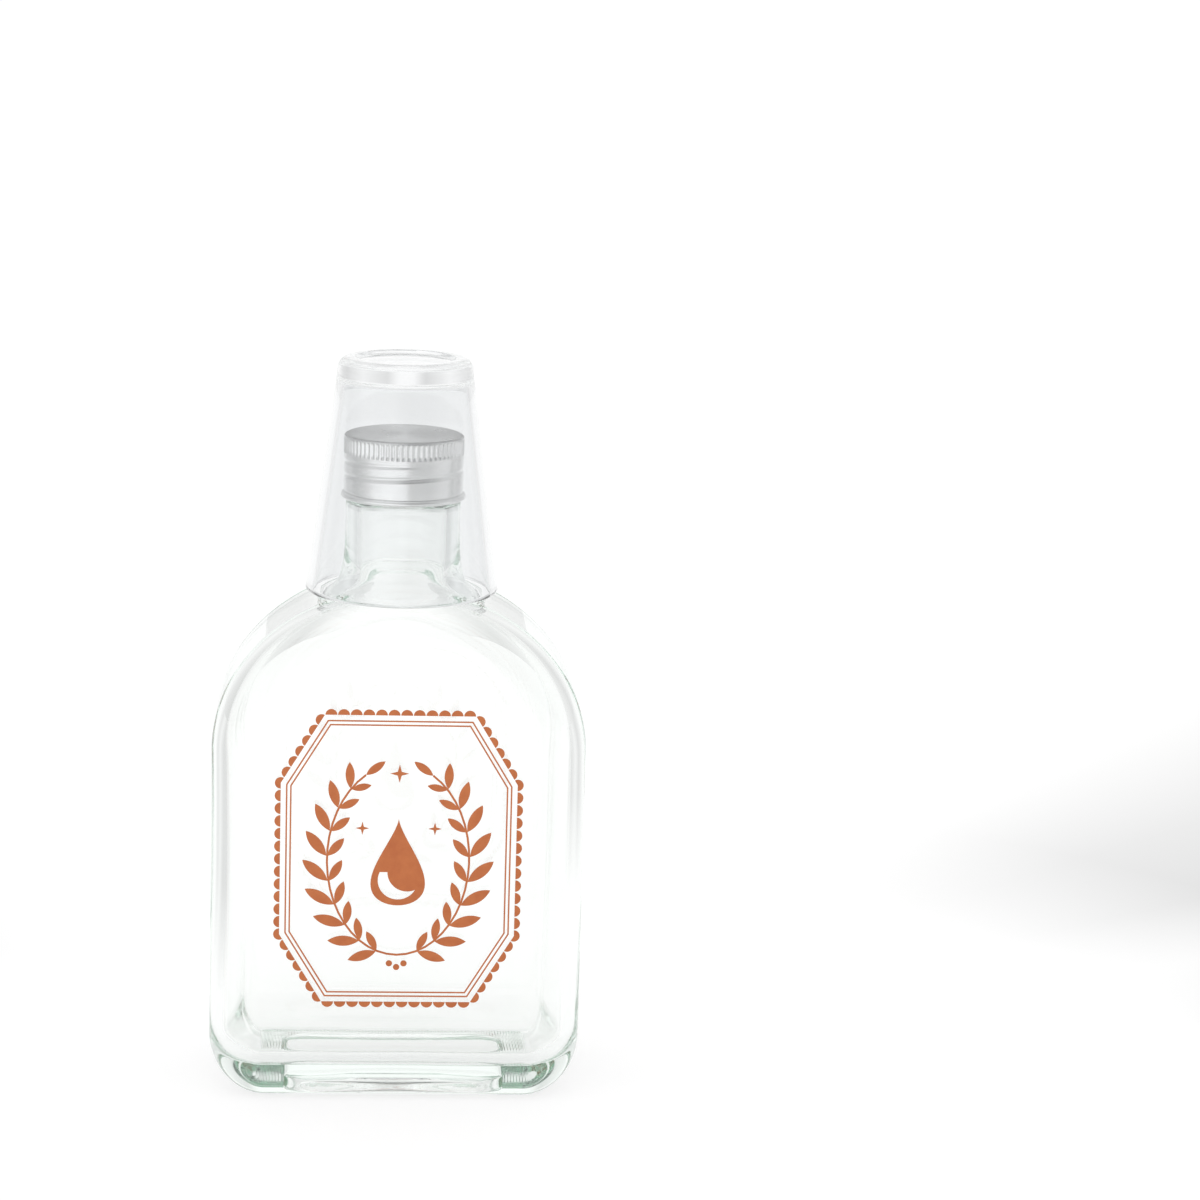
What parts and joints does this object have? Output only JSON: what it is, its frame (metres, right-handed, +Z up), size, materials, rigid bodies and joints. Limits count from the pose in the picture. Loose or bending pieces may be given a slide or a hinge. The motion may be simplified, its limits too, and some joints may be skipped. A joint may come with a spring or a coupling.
{
  "type": "mouthwash bottle with cup",
  "caption": "Flat-fronted clear glass flask with an arched shoulder, a knurled aluminium screw cap and a clear cup turned over the neck, with a printed frame on the front.",
  "frame": {"origin": "centre of the underside of the base, on the plane that the bottle stands on", "axes": "+Z up along the neck, +X to the right seen from the printed front, the printed front faces -Y"},
  "size_m": [0.0874, 0.045, 0.1736],
  "materials": {
    "clear_glass": "clear soda-lime bottle glass with a faint green cast in its thick edges, fire polished",
    "liner_foam": "white expanded polyethylene foam, slightly soft",
    "cap_aluminium": "bare drawn aluminium sheet, satin, with a clear lacquer",
    "cup_clear": "water-clear moulded styrene plastic, polished",
    "print_ink": "opaque terracotta screen ink fired on to the glass, satin"
  },
  "bodies": {
    "bottle": {"bottle": "clear_glass", "front_print": "print_ink"},
    "liner": {"cap_liner": "liner_foam"},
    "cap": {"cap_shell": "cap_aluminium"},
    "cup": {"cup": "cup_clear"}
  },
  "joints": [
    {"name": "cap_lift", "type": "slide", "parent": "bottle", "child": "liner", "axis": [0, 0, 1], "range_m": [0, 0.00477]},
    {"name": "cap_turn", "type": "hinge", "parent": "liner", "child": "cap", "pos_m": [0, 0, 0.148], "axis": [0, 0, 1], "range_deg": [0, 540]},
    {"name": "cup_lift", "type": "slide", "parent": "bottle", "child": "cup", "axis": [0, 0, 1], "range_m": [0, 0.06]}
  ],
  "couplings": [
    {"joint": "cap_lift", "follows": "cap_turn", "m_per_rad": 0.00050532}
  ]
}
